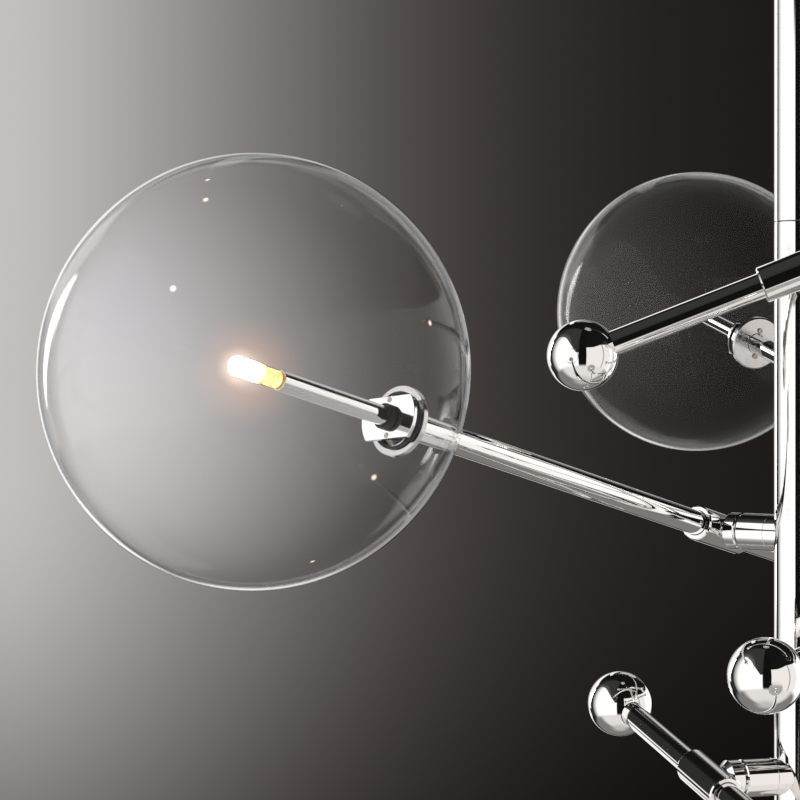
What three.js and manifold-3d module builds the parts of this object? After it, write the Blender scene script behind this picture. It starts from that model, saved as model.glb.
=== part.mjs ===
// Globe chandelier: a nickel stem with five tilting arms, each with a clear glass globe
// round a capsule bulb at one end and a solid counterweight ball at the other.
// Millimetres, +Z up. The origin is where the ceiling bracket meets the ceiling, on the
// stem's axis, so everything hangs below z = 0.

import * as THREE from 'three';
import { mergeVertices } from 'three/addons/utils/BufferGeometryUtils.js';
import Module from 'manifold-3d';

const wasm = await Module();
wasm.setup();

// Fits and cutting allowances
const fitGap = 0.3;
const cutOverrun = 4;

// Ceiling bracket: a bar with a blind boss for the hanging nipple
const barLength = 110;
const barWidth = 40;
const barThickness = 3;
const barCornerRadius = 6;
const barScrewSpacing = 70;
const barScrewHoleDiameter = 5;
const bossDiameter = 22;
const bossHeight = 10;
const bossBoreDepth = 8;

// Low-voltage transformer and terminal block, both seated under the bar
const transformerLength = 96;
const transformerWidth = 30;
const transformerHeight = 22;
const transformerOverlap = 6;
const terminalLength = 36;
const terminalWidth = 16;
const terminalHeight = 14;
const terminalOverlap = 6;
const caseCornerRadius = 3;

// Hanging nipple: a hollow threaded rod with a side window for the wires
const nippleDiameter = 10;
const nippleBore = 6;
const nippleStemEngagement = 11;
const wireWindowDiameter = 5;

// Canopy and its collar ring
const canopyDiameter = 150;
const canopyHeight = 38;
const canopyWall = 1.5;
const canopyEdgeRadius = 7;
const ceilingGap = 0.5;
const collarDiameter = 34;
const collarHeight = 12;
const collarChamfer = 1.5;

// Stem tubes
const stemDiameter = 25.4;
const stemWall = 1.5;
const upperStemLength = 450;
const upperPlugThickness = 14;
const seamGap = 0.4;
const columnTail = 31.9;
const columnPlugThickness = 6;

// Swivel spigot inside the seam
const spigotPlugLength = 14;
const swivelShaftDiameter = 12;
const swivelHeadDiameter = 18;
const swivelHeadThickness = 4;
const swivelBore = 6;

// Bottom finial
const finialPlugLength = 10;
const finialHeight = 6;
const finialEdgeRadius = 3;

// Knuckle: barrel on the column, groove, tee head with the sleeve round the arm tube
const knuckleDiameter = 21;
const armOffset = 54;
const rearArmOffset = 104;
const headReach = 17.7;
const grooveWidth = 1.2;
const grooveCoreDiameter = 17;
const knuckleChamfer = 0.7;
const headEndChamfer = 2.6;
const headBlend = 2;
const pivotDiameter = 10;
const pivotLength = 6;
const wireHoleDiameter = 4;
const tenonDiameter = 8;
const tenonDepth = 3.5;
const sleeveDiameter = 20;
const sleeveLength = 43;
const sleeveChamfer = 0.7;

// Arm tube and counterweight ball
const armTubeDiameter = 14;
const armTubeWall = 1.5;
const ballDiameter = 39;
const ballReach = 125;
const ballSocketDepth = 8;

// Glass globe on its flange
const globeReach = 378;
const globeDiameter = 200;
const globeWall = 2.4;
const globeHoleDiameter = 27;
const gasketThickness = 1.2;
const gasketDiameter = 34.4;
const flangeDiameter = 36;
const flangeThickness = 4;
const flangeChamfer = 0.9;
const flangeRecessDiameter = 26;
const flangeRecessDepth = 1.5;
const armSocketDepth = 1.2;

// Strap inside the globe, with the two screws that pull it towards the flange
const strapDiameter = 35;
const strapWidth = 21.5;
const strapThickness = 2.2;
const strapScrewSpacing = 18;
const screwShankDiameter = 2.4;
const screwHeadDiameter = 3.4;
const screwHeadHeight = 1;

// Lamp tube with its foot and pin holder, and the capsule bulb
const lampTubeDiameter = 10;
const lampTubeWall = 1;
const lampSpigotDiameter = 8;
const lampSpigotLength = 3;
const lampFootDiameter = 13;
const lampFootHeight = 3.5;
const lampTubeInset = 20;
const lampHolderDepth = 6;
const pinHolderBore = 4;
const bulbLength = 36;
const bulbDiameter = 10;
const bulbBaseDiameter = 9;
const bulbBaseLength = 9;
const bulbNeckDiameter = 8;
const bulbNeckLength = 1.5;
const bulbPinBlockDiameter = 3.4;
const bulbPinBlockLength = 4;

// Drop of each pivot below the seam, from the highest arm to the lowest
const firstDrop = 30.5;
const secondDrop = 128;
const thirdDrop = 175;
const fourthDrop = 224;
const fifthDrop = 310.5;

// Azimuth is the compass direction of the globe in plan and tilt its rise, in degrees
const arms = [
  { azimuth: -8.3, tilt: 21.2, drop: firstDrop, offset: armOffset },
  { azimuth: 107.1, tilt: 14.1, drop: secondDrop, offset: rearArmOffset },
  { azimuth: 226.9, tilt: 13.5, drop: thirdDrop, offset: armOffset },
  { azimuth: 50.2, tilt: 7, drop: fourthDrop, offset: armOffset },
  { azimuth: -71.6, tilt: -12.7, drop: fifthDrop, offset: armOffset },
];

// Sides of the turned pieces and steps of their round edges
const stemSides = 24;
const knuckleSides = 16;
const tubeSides = 14;
const smallSides = 8;
const lampSides = 10;
const globeSides = 20;
const globeBands = 9;
const ballSides = 16;
const ballBands = 7;
const edgeSteps = 2;
const bulbTipSteps = 3;
const canopyEdgeSteps = 4;

// Levels worked out from the sizes above
const bossBottom = -(barThickness + bossHeight);
const canopyBottom = -(ceilingGap + canopyHeight);
const collarTop = canopyBottom - fitGap;
const stemTop = collarTop - collarHeight - fitGap;
const seamLevel = stemTop - upperStemLength;
const columnTop = seamLevel - seamGap;
const columnBottom = seamLevel - fifthDrop - columnTail;
const stemRadius = stemDiameter / 2;
const stemBoreRadius = stemRadius - stemWall;
const nippleHoleRadius = nippleDiameter / 2 + fitGap;
const armTubeRadius = armTubeDiameter / 2;
const armTubeHoleRadius = armTubeRadius + fitGap;

// Finishes
const finishes = {
  nickel: { color: 0xd9d4ca, roughness: 0.08, metalness: 1 },
  steel: { color: 0xaeb2b6, roughness: 0.35, metalness: 0.9 },
  glass: { color: 0xf2f5f5, roughness: 0.03, metalness: 0, transparent: true, opacity: 0.22 },
  bulb: { color: 0xffe0a8, roughness: 0.1, metalness: 0, transparent: true, opacity: 0.7 },
  rubber: { color: 0x161616, roughness: 0.7, metalness: 0 },
  plastic: { color: 0xe6e6e2, roughness: 0.45, metalness: 0 },
};

// Points of an arc, angles in degrees from the radial direction, as [radius, axial] pairs
function arc(centreRadius, centreAxial, radius, fromAngle, toAngle, steps) {
  const points = [];
  for (let step = 0; step <= steps; step += 1) {
    const angle = THREE.MathUtils.degToRad(fromAngle + ((toAngle - fromAngle) * step) / steps);
    points.push([centreRadius + radius * Math.cos(angle), centreAxial + radius * Math.sin(angle)]);
  }
  return points;
}

// A turned solid about +Z. The profile climbs on the outside; a hollow one comes back down inside.
function turned(profile, sides) {
  const points = profile.map(([radius, axial]) => new THREE.Vector2(radius, axial));
  return new THREE.LatheGeometry(points, sides).rotateX(Math.PI / 2);
}

// A turned ring: the same, with the profile closed on itself
function turnedRing(profile, sides) {
  return turned([...profile, profile[0]], sides);
}

function rod(radius, bottom, top, sides) {
  return turned([[0, bottom], [radius, bottom], [radius, top], [0, top]], sides);
}

// A plate or case: a rounded rectangle in plan, extruded upwards from the given level
function roundedBlock(length, width, height, cornerRadius, bottom) {
  const x = length / 2;
  const y = width / 2;
  const outline = new THREE.Shape();
  outline.moveTo(-x + cornerRadius, -y);
  outline.lineTo(x - cornerRadius, -y);
  outline.absarc(x - cornerRadius, -y + cornerRadius, cornerRadius, -Math.PI / 2, 0, false);
  outline.absarc(x - cornerRadius, y - cornerRadius, cornerRadius, 0, Math.PI / 2, false);
  outline.absarc(-x + cornerRadius, y - cornerRadius, cornerRadius, Math.PI / 2, Math.PI, false);
  outline.absarc(-x + cornerRadius, -y + cornerRadius, cornerRadius, Math.PI, Math.PI * 1.5, false);
  const settings = { depth: height, bevelEnabled: false, curveSegments: edgeSteps };
  return new THREE.ExtrudeGeometry(outline, settings).translate(0, 0, bottom);
}

// Shared corners merged and slivers dropped, so that the mesh is closed for a boolean cut
function toSolid(geometry) {
  const bare = geometry.clone();
  bare.deleteAttribute('normal');
  bare.deleteAttribute('uv');
  const welded = mergeVertices(bare);
  const index = Array.from(welded.index.array);
  const triangles = [];
  for (let corner = 0; corner < index.length; corner += 3) {
    const [a, b, c] = index.slice(corner, corner + 3);
    if (a !== b && b !== c && c !== a) {
      triangles.push(a, b, c);
    }
  }
  return new wasm.Manifold(new wasm.Mesh({
    numProp: 3,
    vertProperties: Float32Array.from(welded.attributes.position.array),
    triVerts: Uint32Array.from(triangles),
  }));
}

function toGeometry(solid) {
  const mesh = solid.getMesh();
  const geometry = new THREE.BufferGeometry();
  geometry.setAttribute('position', new THREE.BufferAttribute(Float32Array.from(mesh.vertProperties), 3));
  geometry.setIndex(new THREE.BufferAttribute(Uint32Array.from(mesh.triVerts), 1));
  geometry.computeVertexNormals();
  return geometry;
}

// One base geometry with others joined to it and then others cut from it
function combined(base, joined, cuts) {
  let solid = toSolid(base);
  for (const piece of joined) {
    solid = solid.add(toSolid(piece));
  }
  for (const piece of cuts) {
    solid = solid.subtract(toSolid(piece));
  }
  return toGeometry(solid);
}

function addPiece(parent, name, geometry, finish) {
  const mesh = new THREE.Mesh(geometry, new THREE.MeshStandardMaterial(finishes[finish]));
  mesh.name = name;
  parent.add(mesh);
  return mesh;
}

// Ceiling pieces

function ceilingBracket() {
  const plate = roundedBlock(barLength, barWidth, barThickness, barCornerRadius, -barThickness);
  const boss = rod(bossDiameter / 2, bossBottom, -barThickness / 2, stemSides);
  const bore = rod(nippleHoleRadius, bossBottom - cutOverrun, bossBottom + bossBoreDepth, tubeSides);
  const holes = [-1, 1].map((side) => {
    const hole = rod(barScrewHoleDiameter / 2, -barThickness - cutOverrun, cutOverrun, smallSides);
    return hole.translate((side * barScrewSpacing) / 2, 0, 0);
  });
  return combined(plate, [boss], [bore, ...holes]);
}

// A case under the bar's long edge, on the +Y side or the -Y side
function underBarCase(length, width, height, overlap, side) {
  const block = roundedBlock(length, width, height, caseCornerRadius, -barThickness - fitGap - height);
  return block.translate(0, side * (barWidth / 2 - overlap + width / 2), 0);
}

function transformer() {
  return underBarCase(transformerLength, transformerWidth, transformerHeight, transformerOverlap, 1);
}

function terminalBlock() {
  return underBarCase(terminalLength, terminalWidth, terminalHeight, terminalOverlap, -1);
}

function hangingNipple() {
  const top = bossBottom + bossBoreDepth - fitGap;
  const bottom = stemTop - nippleStemEngagement;
  const outer = nippleDiameter / 2;
  const bore = nippleBore / 2;
  const tube = turnedRing([[outer, bottom], [outer, top], [bore, top], [bore, bottom]], tubeSides);
  const windowLevel = (bossBottom + canopyBottom + canopyWall) / 2;
  const window = rod(wireWindowDiameter / 2, 0, outer + cutOverrun, smallSides);
  window.rotateX(Math.PI / 2).translate(0, 0, windowLevel);
  return combined(tube, [], [window]);
}

function canopy() {
  const outer = canopyDiameter / 2;
  const inner = outer - canopyWall;
  const edge = canopyEdgeRadius;
  const innerEdge = edge - canopyWall;
  const outside = arc(outer - edge, canopyBottom + edge, edge, -90, 0, canopyEdgeSteps);
  const inside = arc(outer - edge, canopyBottom + edge, innerEdge, 0, -90, canopyEdgeSteps);
  return turnedRing([
    [nippleHoleRadius, canopyBottom],
    ...outside,
    [outer, -ceilingGap],
    [inner, -ceilingGap],
    ...inside,
    [nippleHoleRadius, canopyBottom + canopyWall],
  ], stemSides);
}

function canopyCollar() {
  const outer = collarDiameter / 2;
  const bottom = collarTop - collarHeight;
  return turnedRing([
    [nippleHoleRadius, bottom],
    [outer - collarChamfer, bottom],
    [outer, bottom + collarChamfer],
    [outer, collarTop - collarChamfer],
    [outer - collarChamfer, collarTop],
    [nippleHoleRadius, collarTop],
  ], stemSides);
}

// Stem pieces

function upperStem() {
  const plugBottom = stemTop - upperPlugThickness;
  return turnedRing([
    [stemBoreRadius, seamLevel],
    [stemRadius, seamLevel],
    [stemRadius, stemTop],
    [nippleHoleRadius, stemTop],
    [nippleHoleRadius, plugBottom],
    [stemBoreRadius, plugBottom],
  ], stemSides);
}

function swivelSpigot() {
  const plug = stemBoreRadius - fitGap;
  const shaft = swivelShaftDiameter / 2;
  const head = swivelHeadDiameter / 2;
  const bore = swivelBore / 2;
  const headTop = columnTop - columnPlugThickness - fitGap;
  const headBottom = headTop - swivelHeadThickness;
  return turnedRing([
    [bore, headBottom],
    [head, headBottom],
    [head, headTop],
    [shaft, headTop],
    [shaft, seamLevel],
    [plug, seamLevel],
    [plug, seamLevel + spigotPlugLength],
    [bore, seamLevel + spigotPlugLength],
  ], tubeSides);
}

function lowerColumn() {
  const shaftHole = swivelShaftDiameter / 2 + fitGap;
  const plugBottom = columnTop - columnPlugThickness;
  const tube = turnedRing([
    [stemBoreRadius, columnBottom],
    [stemRadius, columnBottom],
    [stemRadius, columnTop],
    [shaftHole, columnTop],
    [shaftHole, plugBottom],
    [stemBoreRadius, plugBottom],
  ], stemSides);
  const holes = arms.map((arm) => {
    const hole = rod(tenonDiameter / 2 + fitGap, 0, stemRadius + cutOverrun, tubeSides);
    hole.rotateX(Math.PI / 2);
    hole.rotateZ(THREE.MathUtils.degToRad(arm.azimuth));
    return hole.translate(0, 0, seamLevel - arm.drop);
  });
  return combined(tube, [], holes);
}

function bottomFinial() {
  const seat = columnBottom - fitGap;
  const bottom = seat - finialHeight;
  return turned([
    [0, bottom],
    ...arc(stemRadius - finialEdgeRadius, bottom + finialEdgeRadius, finialEdgeRadius, -90, 0, edgeSteps),
    [stemRadius, seat],
    [stemBoreRadius - fitGap, seat],
    [stemBoreRadius - fitGap, columnBottom + finialPlugLength],
    [0, columnBottom + finialPlugLength],
  ], stemSides);
}

// Knuckle barrel along +Z from the column's axis: tenon, saddle, barrel, groove core and pivot
function knuckleBarrel(offset) {
  const outer = knuckleDiameter / 2;
  const barrelEnd = offset - headReach - grooveWidth;
  const coreEnd = offset - headReach - fitGap;
  const pivotEnd = offset - headReach + pivotLength - fitGap;
  const body = turned([
    [0, 0],
    [outer, 0],
    [outer, barrelEnd - knuckleChamfer],
    [outer - knuckleChamfer, barrelEnd],
    [grooveCoreDiameter / 2, barrelEnd],
    [grooveCoreDiameter / 2, coreEnd],
    [pivotDiameter / 2, coreEnd],
    [pivotDiameter / 2, pivotEnd],
    [0, pivotEnd],
  ], knuckleSides);
  const saddle = rod(stemRadius + fitGap, -knuckleDiameter, knuckleDiameter, stemSides);
  saddle.rotateX(Math.PI / 2);
  const tenon = rod(tenonDiameter / 2, stemRadius - tenonDepth, stemRadius + cutOverrun, tubeSides);
  const wireHole = rod(wireHoleDiameter / 2, 0, pivotEnd + cutOverrun, smallSides);
  const seated = toGeometry(toSolid(body).subtract(toSolid(saddle)));
  return combined(seated, [tenon], [wireHole]).rotateX(Math.PI / 2);
}

// Tee head in the arm's frame: sleeve along X, stub towards the column along +Y
function knuckleHead() {
  const sleeveRadius = sleeveDiameter / 2;
  const sleeveEnd = sleeveLength / 2;
  const stubRadius = knuckleDiameter / 2;
  const stubStart = sleeveRadius - headBlend;
  const sleeve = turned([
    [0, -sleeveEnd],
    [sleeveRadius - sleeveChamfer, -sleeveEnd],
    [sleeveRadius, -sleeveEnd + sleeveChamfer],
    [sleeveRadius, sleeveEnd - sleeveChamfer],
    [sleeveRadius - sleeveChamfer, sleeveEnd],
    [0, sleeveEnd],
  ], knuckleSides).rotateY(Math.PI / 2);
  const stub = turned([
    [0, stubStart],
    [stubRadius - headEndChamfer, stubStart],
    [stubRadius, stubStart + headEndChamfer],
    [stubRadius, headReach - knuckleChamfer],
    [stubRadius - knuckleChamfer, headReach],
    [0, headReach],
  ], knuckleSides).rotateX(-Math.PI / 2);
  const tubeBore = rod(armTubeHoleRadius, -sleeveLength, sleeveLength, tubeSides).rotateY(Math.PI / 2);
  const pivotBottom = headReach - pivotLength;
  const pivotBore = rod(pivotDiameter / 2 + fitGap, pivotBottom, headReach + cutOverrun, tubeSides);
  const wireHole = rod(wireHoleDiameter / 2, 0, headReach, smallSides);
  pivotBore.rotateX(-Math.PI / 2);
  wireHole.rotateX(-Math.PI / 2);
  return combined(sleeve, [stub], [tubeBore, pivotBore, wireHole]);
}

// Places along the arm from the pivot, worked out from the globe
const globeRadius = globeDiameter / 2;
const globeHoleRadius = globeHoleDiameter / 2;
const globeInnerRadius = globeRadius - globeWall;

function glassPlace(sphereRadius, radius) {
  return globeReach - Math.sqrt(sphereRadius ** 2 - radius ** 2);
}

const gasketBack = glassPlace(globeRadius, globeHoleRadius) - fitGap - gasketThickness;
const flangeFace = gasketBack - fitGap;
const flangeBack = flangeFace - flangeThickness;
const strapBack = glassPlace(globeInnerRadius, strapDiameter / 2) + fitGap;
const strapFront = strapBack + strapThickness;
const lampFootBack = strapFront + fitGap;
const lampTubeEnd = globeReach - lampTubeInset;

// Arm tube along +Z from the ball's socket to the flange's socket, with a wire hole at the knuckle
function armTube() {
  const start = -ballReach + ballDiameter / 2 - ballSocketDepth + fitGap;
  const end = flangeBack + armSocketDepth - fitGap;
  const bore = armTubeRadius - armTubeWall;
  const tube = turnedRing([
    [bore, start],
    [armTubeRadius, start],
    [armTubeRadius, end],
    [bore, end],
  ], tubeSides).rotateY(Math.PI / 2);
  const wireHole = rod(wireHoleDiameter / 2, 0, armTubeRadius + cutOverrun, smallSides);
  return combined(tube, [], [wireHole.rotateX(-Math.PI / 2)]);
}

function counterweightBall() {
  const radius = ballDiameter / 2;
  const socketBottom = radius - ballSocketDepth;
  const mouthAngle = THREE.MathUtils.radToDeg(Math.acos(armTubeHoleRadius / radius));
  return turned([
    ...arc(0, 0, radius, -90, mouthAngle, ballBands),
    [armTubeHoleRadius, socketBottom],
    [0, socketBottom],
  ], ballSides).rotateY(Math.PI / 2).translate(-ballReach, 0, 0);
}

function screwPlaces() {
  return [-1, 1].map((side) => (side * strapScrewSpacing) / 2);
}

function globeFlange() {
  const outer = flangeDiameter / 2;
  const recess = flangeRecessDiameter / 2;
  const spigotHole = lampSpigotDiameter / 2 + fitGap;
  const plate = turnedRing([
    [spigotHole, flangeBack + armSocketDepth],
    [armTubeHoleRadius, flangeBack + armSocketDepth],
    [armTubeHoleRadius, flangeBack],
    [outer - flangeChamfer, flangeBack],
    [outer, flangeBack + flangeChamfer],
    [outer, flangeFace],
    [recess, flangeFace],
    [recess, flangeFace - flangeRecessDepth],
    [spigotHole, flangeFace - flangeRecessDepth],
  ], knuckleSides);
  const holeRadius = screwShankDiameter / 2 + fitGap;
  const holes = screwPlaces().map((place) => {
    const hole = rod(holeRadius, flangeBack - cutOverrun, flangeFace + cutOverrun, smallSides);
    return hole.translate(place, 0, 0);
  });
  return combined(plate, [], holes).rotateY(Math.PI / 2);
}

function flangeGasket() {
  const inner = globeHoleRadius;
  const outer = gasketDiameter / 2;
  return turnedRing([
    [inner, gasketBack],
    [outer, gasketBack],
    [outer, glassPlace(globeRadius, outer) - fitGap],
    [inner, glassPlace(globeRadius, inner) - fitGap],
  ], knuckleSides).rotateY(Math.PI / 2);
}

// One skin of the globe, from its mouth to the far pole, with a point just past the strap's edge
function globeSkin(radius) {
  const seatRadius = strapDiameter / 2 + fitGap;
  const mouth = [globeHoleRadius, -Math.sqrt(radius ** 2 - globeHoleRadius ** 2)];
  const seatAngle = -THREE.MathUtils.radToDeg(Math.acos(seatRadius / radius));
  const skin = [mouth, ...arc(0, 0, radius, seatAngle, 90, globeBands)];
  skin[skin.length - 1][0] = 0;
  return skin;
}

function glassGlobe() {
  const outside = globeSkin(globeRadius);
  const inside = globeSkin(globeInnerRadius).reverse();
  return turned([...outside, ...inside, outside[0]], globeSides)
    .rotateY(Math.PI / 2)
    .translate(globeReach, 0, 0);
}

// Strap with two flats and its screws, whose heads lie outside the flange
function globeStrap() {
  const radius = strapDiameter / 2;
  const disc = rod(radius, strapBack, strapFront, knuckleSides);
  const flats = [-1, 1].map((side) => {
    const block = new THREE.BoxGeometry(strapDiameter, strapDiameter, strapThickness + 2 * cutOverrun);
    const centre = (strapWidth + strapDiameter) / 2;
    return block.translate(side * centre, 0, (strapBack + strapFront) / 2);
  });
  const holeRadius = lampSpigotDiameter / 2 + fitGap;
  const hole = rod(holeRadius, strapBack - cutOverrun, strapFront + cutOverrun, tubeSides);
  const headTop = flangeBack - fitGap;
  const screws = screwPlaces().map((place) => {
    const screw = turned([
      [0, headTop - screwHeadHeight],
      [screwHeadDiameter / 2, headTop - screwHeadHeight],
      [screwHeadDiameter / 2, headTop],
      [screwShankDiameter / 2, headTop],
      [screwShankDiameter / 2, strapFront - fitGap],
      [0, strapFront - fitGap],
    ], smallSides);
    return screw.translate(place, 0, 0);
  });
  const bar = combined(disc, [], [...flats, hole]);
  return combined(bar, screws, []).rotateY(Math.PI / 2);
}

// Lamp tube: spigot through strap and flange, foot on the strap, tube, pin holder in its end
function lampTube() {
  const spigot = lampSpigotDiameter / 2;
  const foot = lampFootDiameter / 2;
  const outer = lampTubeDiameter / 2;
  const bore = outer - lampTubeWall;
  const start = flangeBack - lampSpigotLength;
  const footFront = lampFootBack + lampFootHeight;
  const spigotBore = spigot - lampTubeWall;
  return turnedRing([
    [spigotBore, start],
    [spigot, start],
    [spigot, lampFootBack],
    [foot, lampFootBack],
    [foot, footFront],
    [outer, footFront],
    [outer, lampTubeEnd],
    [pinHolderBore / 2, lampTubeEnd],
    [pinHolderBore / 2, lampTubeEnd - lampHolderDepth],
    [bore, lampTubeEnd - lampHolderDepth],
    [bore, footFront],
    [spigotBore, lampFootBack],
  ], lampSides).rotateY(Math.PI / 2);
}

// Capsule bulb: pin block in the holder, pinched base, neck and domed capsule
function capsuleBulb() {
  const seat = lampTubeEnd + fitGap;
  const radius = bulbDiameter / 2;
  const baseEnd = seat + bulbBaseLength;
  const neckEnd = baseEnd + bulbNeckLength;
  const tip = lampTubeEnd + bulbLength;
  return turned([
    [0, lampTubeEnd - bulbPinBlockLength],
    [bulbPinBlockDiameter / 2, lampTubeEnd - bulbPinBlockLength],
    [bulbPinBlockDiameter / 2, seat],
    [bulbBaseDiameter / 2, seat],
    [bulbBaseDiameter / 2, baseEnd],
    [bulbNeckDiameter / 2, baseEnd],
    [radius, neckEnd],
    ...arc(0, tip - radius, radius, 0, 90, bulbTipSteps),
  ], lampSides).rotateY(Math.PI / 2);
}

const chandelier = new THREE.Group();

addPiece(chandelier, 'ceiling_bracket', ceilingBracket(), 'steel');
addPiece(chandelier, 'transformer', transformer(), 'plastic');
addPiece(chandelier, 'terminal_block', terminalBlock(), 'plastic');
addPiece(chandelier, 'hanging_nipple', hangingNipple(), 'steel');
addPiece(chandelier, 'canopy', canopy(), 'nickel');
addPiece(chandelier, 'canopy_collar', canopyCollar(), 'nickel');
addPiece(chandelier, 'upper_stem', upperStem(), 'nickel');
addPiece(chandelier, 'swivel_spigot', swivelSpigot(), 'steel');
addPiece(chandelier, 'lower_column', lowerColumn(), 'nickel');
addPiece(chandelier, 'bottom_finial', bottomFinial(), 'nickel');

// Each arm: a level group turned to its azimuth for the barrel, and in it a tilted group
// at the pivot for everything that tilts
arms.forEach((arm, index) => {
  const number = index + 1;
  const level = new THREE.Group();
  level.position.z = seamLevel - arm.drop;
  level.rotation.z = THREE.MathUtils.degToRad(arm.azimuth);
  chandelier.add(level);
  addPiece(level, `knuckle_barrel_${number}`, knuckleBarrel(arm.offset), 'nickel');

  const tilted = new THREE.Group();
  tilted.position.y = -arm.offset;
  tilted.rotation.y = -THREE.MathUtils.degToRad(arm.tilt);
  level.add(tilted);
  addPiece(tilted, `knuckle_head_${number}`, knuckleHead(), 'nickel');
  addPiece(tilted, `arm_tube_${number}`, armTube(), 'nickel');
  addPiece(tilted, `counterweight_ball_${number}`, counterweightBall(), 'nickel');
  addPiece(tilted, `globe_flange_${number}`, globeFlange(), 'nickel');
  addPiece(tilted, `flange_gasket_${number}`, flangeGasket(), 'rubber');
  addPiece(tilted, `glass_globe_${number}`, glassGlobe(), 'glass');
  addPiece(tilted, `globe_strap_${number}`, globeStrap(), 'nickel');
  addPiece(tilted, `lamp_tube_${number}`, lampTube(), 'nickel');
  addPiece(tilted, `capsule_bulb_${number}`, capsuleBulb(), 'bulb');
});

export default chandelier;
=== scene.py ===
"""Looks of the globe chandelier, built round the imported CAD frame."""

import math

import bmesh
import bpy
from mathutils import Matrix, Vector


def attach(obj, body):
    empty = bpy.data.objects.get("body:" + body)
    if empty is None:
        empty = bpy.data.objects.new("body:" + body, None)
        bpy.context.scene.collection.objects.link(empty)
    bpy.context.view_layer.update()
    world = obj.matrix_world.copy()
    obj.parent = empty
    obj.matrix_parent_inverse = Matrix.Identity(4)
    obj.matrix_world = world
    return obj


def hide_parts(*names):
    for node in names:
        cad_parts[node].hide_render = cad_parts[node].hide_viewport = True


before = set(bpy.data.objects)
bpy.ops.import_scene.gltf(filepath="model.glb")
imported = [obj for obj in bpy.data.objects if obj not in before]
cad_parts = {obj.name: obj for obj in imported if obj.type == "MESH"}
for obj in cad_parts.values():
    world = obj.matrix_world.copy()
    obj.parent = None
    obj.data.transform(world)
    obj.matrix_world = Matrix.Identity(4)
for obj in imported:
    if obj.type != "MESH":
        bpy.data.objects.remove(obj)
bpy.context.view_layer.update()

# Lengths are in millimetres, as in the CAD model, until a mesh is made
MM = 0.001

# Camera: its place, and its focal length in pixels of the 800-pixel picture
PICTURE_PIXELS = 800
FOCAL_PIXELS = 2326.5
SENSOR_WIDTH = 36.0
CAMERA_PLACE = (-222.6, -1304.9, -601.1)

# Nearest and furthest distance that the camera sees, in metres
CLIP_START = 0.05
CLIP_END = 100.0

camera_data = bpy.data.cameras.new("camera")
camera_data.sensor_width = SENSOR_WIDTH
camera_data.lens = SENSOR_WIDTH * FOCAL_PIXELS / PICTURE_PIXELS
camera_data.clip_start = CLIP_START
camera_data.clip_end = CLIP_END
camera = bpy.data.objects.new("camera", camera_data)
camera.location = Vector(CAMERA_PLACE) * MM
camera.rotation_euler = (math.pi / 2, 0.0, 0.0)
bpy.context.scene.collection.objects.link(camera)
bpy.context.scene.camera = camera

# Levels along the stem
CEILING_GAP = 0.5
CANOPY_BOTTOM = -38.5
COLLAR_TOP = -38.8
COLLAR_BOTTOM = -50.8
STEM_TOP = -51.1
SEAM_LEVEL = -501.1
COLUMN_TOP = -501.5
COLUMN_BOTTOM = -843.5
FINIAL_TOP = -843.8
FINIAL_BOTTOM = -849.8

# Stem, canopy and collar
STEM_RADIUS = 12.7
STEM_BORE = 11.2
PLUG_HOLE = 5.3
PLUG_DEPTH = 14.0
COLUMN_PLUG_HOLE = 6.3
COLUMN_PLUG_DEPTH = 6.0
CANOPY_RADIUS = 75.0
CANOPY_WALL = 1.5
CANOPY_EDGE = 7.0
COLLAR_RADIUS = 17.0
COLLAR_CHAMFER = 1.5
FINIAL_PLUG = 10.0
FINIAL_PLUG_GAP = 0.3
FINIAL_EDGE = 3.0

# Knuckle
SADDLE_GAP = 0.1
BARREL_RADIUS = 10.5
ROOT_SEAM = 16.2
ROOT_SEAM_WIDTH = 0.25
ROOT_SEAM_DEPTH = 0.35
ROOT_SEAM_MARGIN = 1.5
HEAD_REACH = 17.7
GROOVE_WIDTH = 1.2
GROOVE_CORE = 8.5
CORE_GAP = 0.3
PIVOT_RADIUS = 5.0
PIVOT_LENGTH = 6.0
KNUCKLE_CHAMFER = 0.7
KNUCKLE_EDGE = 0.12
STUB_START = 8.0
STUB_CHAMFER = 2.6
SLEEVE_RADIUS = 10.0
SLEEVE_HALF = 21.5
SLEEVE_CHAMFER = 0.7

# Arm tube and ball, as places along the arm from its pivot
TUBE_RADIUS = 7.0
TUBE_BORE = 5.5
TUBE_HOLE = 7.3
TUBE_START = -113.2
TUBE_END = 274.0
BALL_CENTRE = -125.0
BALL_RADIUS = 19.5
BALL_SOCKET = 8.0

# Globe and its fixings
GLOBE_CENTRE = 377.0
GLOBE_ALONG = 99.0
GLOBE_ACROSS = 101.0
GLOBE_WALL = 1.6
GLOBE_HOLE = 13.5
LIP_BULGE = 0.5
GASKET_BACK = 277.4
GASKET_RADIUS = 14.8
GASKET_GAP = 0.3
FLANGE_BACK = 273.1
FLANGE_FACE = 277.1
FLANGE_RADIUS = 18.0
FLANGE_CHAMFER = 0.9
FLANGE_SOCKET = 1.2
RECESS_RADIUS = 13.0
RECESS_DEPTH = 1.5
SPIGOT_HOLE = 4.3
STRAP_BACK = 282.3
STRAP_FRONT = 284.5
STRAP_RADIUS = 17.5
STRAP_HALF_WIDTH = 10.75
STRAP_TURN = 5.5
SCREW_PLACE = 9.0
SCREW_SHANK = 1.4
SCREW_HEAD = 1.7
SCREW_HEAD_HEIGHT = 1.0
SCREW_GAP = 0.3
SCREW_RECESS = 0.75
SCREW_RECESS_DEPTH = 0.45
SCREW_PROUD = 0.25

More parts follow.
